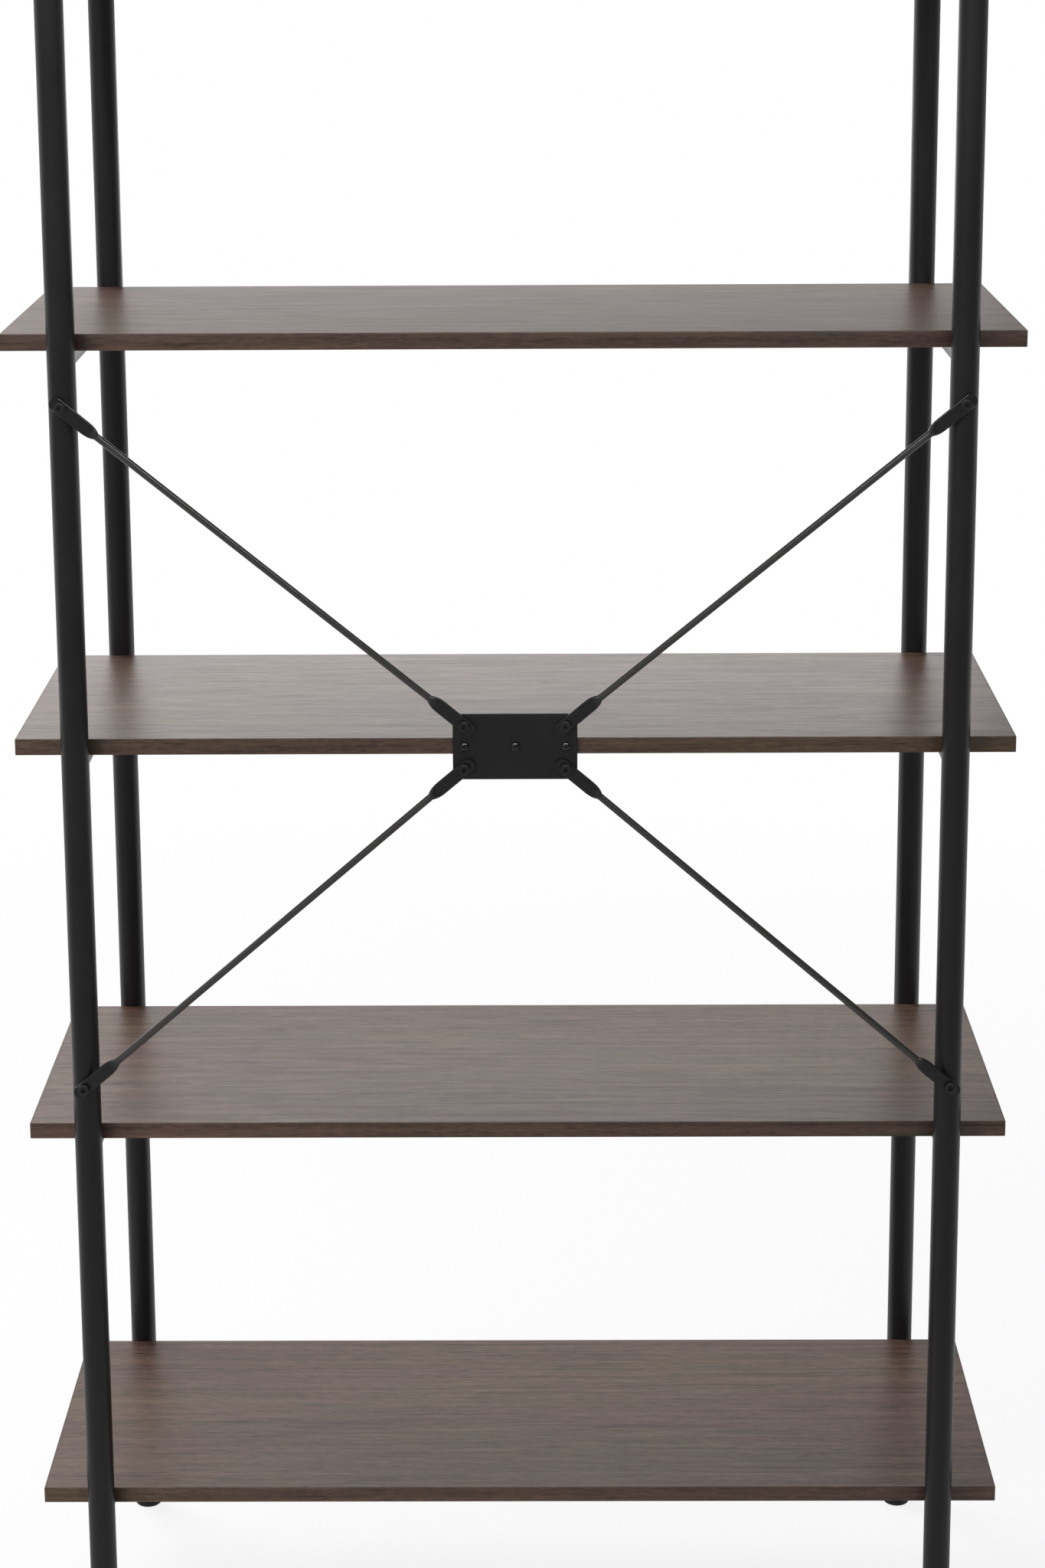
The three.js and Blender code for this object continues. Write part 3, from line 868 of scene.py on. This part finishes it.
def hexagon_nut(height):
    """A nut chamfered on both faces and threaded through, centred on Z = 0"""
    corner_radius = hexagon_corner(nut_across_flats)
    prism = cone(6, corner_radius, corner_radius, height, Matrix())
    face_radius = nut_face_share * nut_across_flats / 2
    half = height / 2
    outline = [(0, -half), (face_radius, -half), (corner_radius * nut_corner_room, nut_chamfer - half)]
    outline += [(radius, -level) for radius, level in reversed(outline)]
    nut = cut_with(prism, turned(outline, nut_facets), "INTERSECT")
    return drilled(nut, 2 * nut_thread_radius, 2 * height, [Vector()], "z")


for corner in corners:
    node = f"plate_nut_{corner}"
    low, high = corners_of(node)
    place = Matrix.Translation(middle(node)) @ facing_front
    nut = set_down(moved(hexagon_nut(high.y - low.y), place), f"{node}_m6", black_zinc)
    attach(nut, "root")
    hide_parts(node)
for corner in corners:
    node = f"rivet_nut_{corner}"
    low, high = corners_of(node)
    length = high.y - low.y
    flange_radius = (high.x - low.x) / 2
    edge = rivet_flange_thickness
    outline = [
        (nut_thread_radius, -length),
        (rivet_body_radius, -length),
        (rivet_body_radius, -edge),
        (flange_radius, -edge),
        (flange_radius, -rivet_flange_ease),
        (flange_radius - rivet_flange_ease, 0),
        (nut_thread_radius, 0),
    ]
    centre = middle(node)
    place = Matrix.Translation((centre.x, low.y, centre.z)) @ facing_front
    nut = set_down(moved(turned(outline, fastener_facets, closed=True), place), f"{node}_m6", black_zinc)
    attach(nut, "root")
    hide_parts(node)

# Plate screws: three pan-head screws with a cross recess that hold the plate to the middle board's edge.
# They are steel with a brighter black nickel finish, and each domed head catches one small light.
plate_screw = {
    "across": 0.004,
    "head": 0.0082,
    "height": 0.0028,
    "rim": 0.28,
    "length": 0.025,
    "point": 0.005,
}
nickel_black = (0.06, 0.06, 0.063, 1)

black_nickel = black_finish(
    "black_nickel",
    nickel_black,
    metallic=1,
    specular=0.5,
    sheen_range=(0.10, 0.15),
    pimples_per_metre=2400,
    pimple_depth=0.000002,
)

screw_shape = pan_screw(plate_screw)
for name in ("left", "middle", "right"):
    node = f"plate_screw_{name}"
    low, high = corners_of(node)
    centre = middle(node)
    place = Matrix.Translation((centre.x, low.y + plate_screw["height"], centre.z)) @ facing_front
    screw = set_down(moved(screw_shape.copy(), place), f"{node}_pan", black_nickel)
    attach(screw, "root")
    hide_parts(node)
screw_shape.free()

# Feet and caps: moulded black plastic plugs. The feet have a round-edged disc a little wider than the post,
# and the caps a shallow dome flush with it. Ribs on the plug grip the bore.
plug_length = 0.016
plug_grip = 0.0003
plug_rib = 0.0002
plug_ribs = 4
plug_lead = 0.001
plug_plain = 0.003
plug_taper = 0.0015
plug_facets = 64
rib_crest = 0.3
rib_end = 0.6
foot_height = 0.006
foot_round = 0.0024
foot_ease = 0.0004
cap_height = 0.0027
cap_seat = 0.0003
round_steps = 8
plastic_black = (0.004, 0.004, 0.0045, 1)

black_plastic = black_finish(
    "black_plastic",
    plastic_black,
    metallic=0,
    specular=0.25,
    sheen_range=(0.42, 0.52),
    pimples_per_metre=3200,
    pimple_depth=0.00002,
)


def plug_outline(bore):
    """(radius, height) points of a ribbed plug that goes up from Z = 0 into a bore"""
    radius = bore - plug_grip
    pitch = (plug_length - plug_plain) / plug_ribs
    points = [(radius - plug_rib, 0)]
    for rib in range(plug_ribs):
        base = plug_lead + rib * pitch
        points += [(radius - plug_rib, base), (radius, base + rib_crest * pitch)]
        points += [(radius - plug_rib, base + rib_end * pitch)]
    return [*points, (radius - plug_taper, plug_length), (0, plug_length)]


bore = post_radius - post_wall
turns = [math.pi / 2 * step / round_steps for step in range(round_steps + 1)]
for face in ("front", "rear"):
    for side in ("left", "right"):
        node = f"foot_{face}_{side}"
        low, high = corners_of(node)
        radius = (high.x - low.x) / 2
        inner = radius - foot_round
        rim = [(inner + foot_round * math.sin(turn), foot_round * (1 - math.cos(turn))) for turn in turns]
        disc = [(0, 0), *rim, (radius, foot_height - foot_ease), (radius - foot_ease, foot_height)]
        plug = [(out, height + foot_height) for out, height in plug_outline(bore)]
        centre = middle(node)
        place = Matrix.Translation((centre.x, centre.y, low.z))
        shape = moved(turned([*disc, *plug], plug_facets), place)
        foot = set_down(shape, f"{node}_plug", black_plastic)
        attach(foot, "root")
        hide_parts(node)

        node = f"cap_{face}_{side}"
        low, high = corners_of(node)
        centre = middle(node)
        dome = [(post_radius * math.cos(turn), cap_height * math.sin(turn)) for turn in turns[:-1]]
        plug = [(out, -height) for out, height in reversed(plug_outline(bore))]
        outline = [*plug, (post_radius - cap_seat, 0), *dome[1:], (0, cap_height)]
        place = Matrix.Translation((centre.x, centre.y, high.z - cap_height))
        shape = moved(turned(outline, plug_facets), place)
        cap = set_down(shape, f"{node}_plug", black_plastic)
        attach(cap, "root")
        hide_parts(node)

# Studio: a pale floor, even light all round and five soft boxes: two in front, the left one stronger, one
# above and behind, a lower one behind that the tops mirror, and a long strip in front that only reflections
# show. The camera sees white round the unit, and reflections find that dimmer in front and to the right.
floor_size = 60
floor_drop = 0.0002
floor_pale = (0.86, 0.86, 0.86, 1)
floor_roughness = 0.9
background_share = 0.82
shadow_reach = (0.8, 2.6)
surround_strength = 0.42
dim_side = 0.35
floor_turn = (-0.7, 0.7)
sky_turn = (-0.4, 0.5)
horizon_dip = 0.7
horizon_band = (0.05, 0.26)
left_gain = 1.40
right_loss = 0.35
side_band = (-0.4, 0.4)
camera_place = (0.026, -2.872, 1.714)
camera_pan = math.radians(0.383)
camera_dip = math.radians(11.854)
camera_roll = math.radians(-0.295)
camera_lens = 72.26
camera_sensor = 36
camera_shift = -0.18


def backdrop_rays(tree, mirrored):
    """1 for the rays that find the background, and its brightness for them: white, or the mirrored level"""
    rays = put(tree, "LightPath").outputs
    clear = math_node(tree, rays["Is Camera Ray"], rays["Is Transmission Ray"], "MAXIMUM")
    level = math_node(tree, clear, math_node(tree, rays["Is Glossy Ray"], mirrored, "MULTIPLY"), "MAXIMUM")
    return math_node(tree, clear, rays["Is Glossy Ray"], "MAXIMUM"), level


floor_finish = bpy.data.materials.new("floor_pale")
floor_finish.use_nodes = True
tree = floor_finish.node_tree
lit = tree.nodes["Principled BSDF"]
lit.inputs["Base Color"].default_value = floor_pale
lit.inputs["Roughness"].default_value = floor_roughness
lit.inputs["Specular IOR Level"].default_value = 0
place = put(tree, "TexCoord").outputs["Object"]
depth = put(tree, "SeparateXYZ", {0: place}).outputs["Y"]
distance = put(tree, "VectorMath", {0: place}, operation="LENGTH").outputs["Value"]
straight, level = backdrop_rays(tree, remapped(tree, depth, *floor_turn, dim_side, 1))
white = put(tree, "Emission", {"Strength": level})
share = math_node(tree, straight, remapped(tree, distance, *shadow_reach, background_share, 1), "MULTIPLY")
mixed = put(tree, "MixShader", {0: share, 1: lit.outputs[0], 2: white.outputs[0]})
tree.links.new(mixed.outputs[0], tree.nodes["Material Output"].inputs["Surface"])

ground = bmesh.new()
bmesh.ops.create_grid(ground, x_segments=1, y_segments=1, size=floor_size / 2)
floor = set_down(moved(ground, Matrix.Translation((0, 0, -floor_drop))), "floor", floor_finish)

world = bpy.data.worlds.new("studio")
bpy.context.scene.world = world
world.use_nodes = True
tree = world.node_tree
tree.nodes.clear()
towards = put(tree, "SeparateXYZ", {0: put(tree, "TexCoord").outputs["Generated"]}).outputs
behind = remapped(tree, towards["Y"], *sky_turn, dim_side, 1)
above = remapped(tree, towards["Z"], *horizon_band, horizon_dip, 1)
across = remapped(tree, towards["X"], *side_band, left_gain, right_loss)
mirrored = math_node(tree, math_node(tree, behind, above, "MULTIPLY"), across, "MULTIPLY")
straight, level = backdrop_rays(tree, mirrored)
even = put(tree, "Background", {"Color": (1, 1, 1, 1), "Strength": surround_strength})
backdrop = put(tree, "Background", {"Color": (1, 1, 1, 1), "Strength": level})
mixed = put(tree, "MixShader", {0: straight, 1: even.outputs[0], 2: backdrop.outputs[0]})
output = tree.nodes.new("ShaderNodeOutputWorld")
tree.links.new(mixed.outputs[0], output.inputs["Surface"])


def soft_lamp(name, place, aim, wide, high, power, mirrored=False, lighting=True):
    """A soft box at a place, turned to its aim, which is seen in reflections, lights the surfaces, or both"""
    lamp = bpy.data.objects.new(name, bpy.data.lights.new(name, "AREA"))
    lamp.data.shape = "RECTANGLE"
    lamp.data.size = wide
    lamp.data.size_y = high
    lamp.data.energy = power
    lamp.location = place
    lamp.rotation_euler = (Vector(aim) - Vector(place)).to_track_quat("-Z", "Y").to_euler()
    lamp.visible_camera = False
    lamp.visible_glossy = mirrored
    lamp.visible_diffuse = lighting
    bpy.context.scene.collection.objects.link(lamp)


soft_lamp("lamp_left", (-2.4, -2.4, 1.2), aim=(0, 0, 0.9), wide=2.0, high=2.0, power=72)
soft_lamp("lamp_right", (2.6, -2.0, 1.1), aim=(0, 0, 0.9), wide=2.0, high=2.0, power=10)
soft_lamp("lamp_above", (-1.55, 1.45, 2.7), aim=(0, 0, 1.0), wide=1.4, high=1.0, power=62)
soft_lamp(
    "lamp_behind",
    (-0.12, 1.25, 1.26),
    aim=(-0.12, 0, 1.26),
    wide=1.5,
    high=0.34,
    power=3.5,
    mirrored=True,
)
soft_lamp(
    "lamp_front",
    (0.2, -1.5, 2.65),
    aim=(0, 0, 1.05),
    wide=3.2,
    high=0.5,
    power=52,
    mirrored=True,
    lighting=False,
)

viewpoint = bpy.data.objects.new("viewpoint", bpy.data.cameras.new("viewpoint"))
viewpoint.data.sensor_width = camera_sensor
viewpoint.data.lens = camera_lens
viewpoint.data.shift_y = camera_shift
viewpoint.matrix_world = (
    Matrix.Translation(camera_place)
    @ Matrix.Rotation(camera_pan, 4, "Z")
    @ Matrix.Rotation(math.pi / 2 - camera_dip, 4, "X")
    @ Matrix.Rotation(camera_roll, 4, "Z")
)
bpy.context.scene.collection.objects.link(viewpoint)
bpy.context.scene.camera = viewpoint
bpy.context.scene.view_settings.view_transform = "Standard"
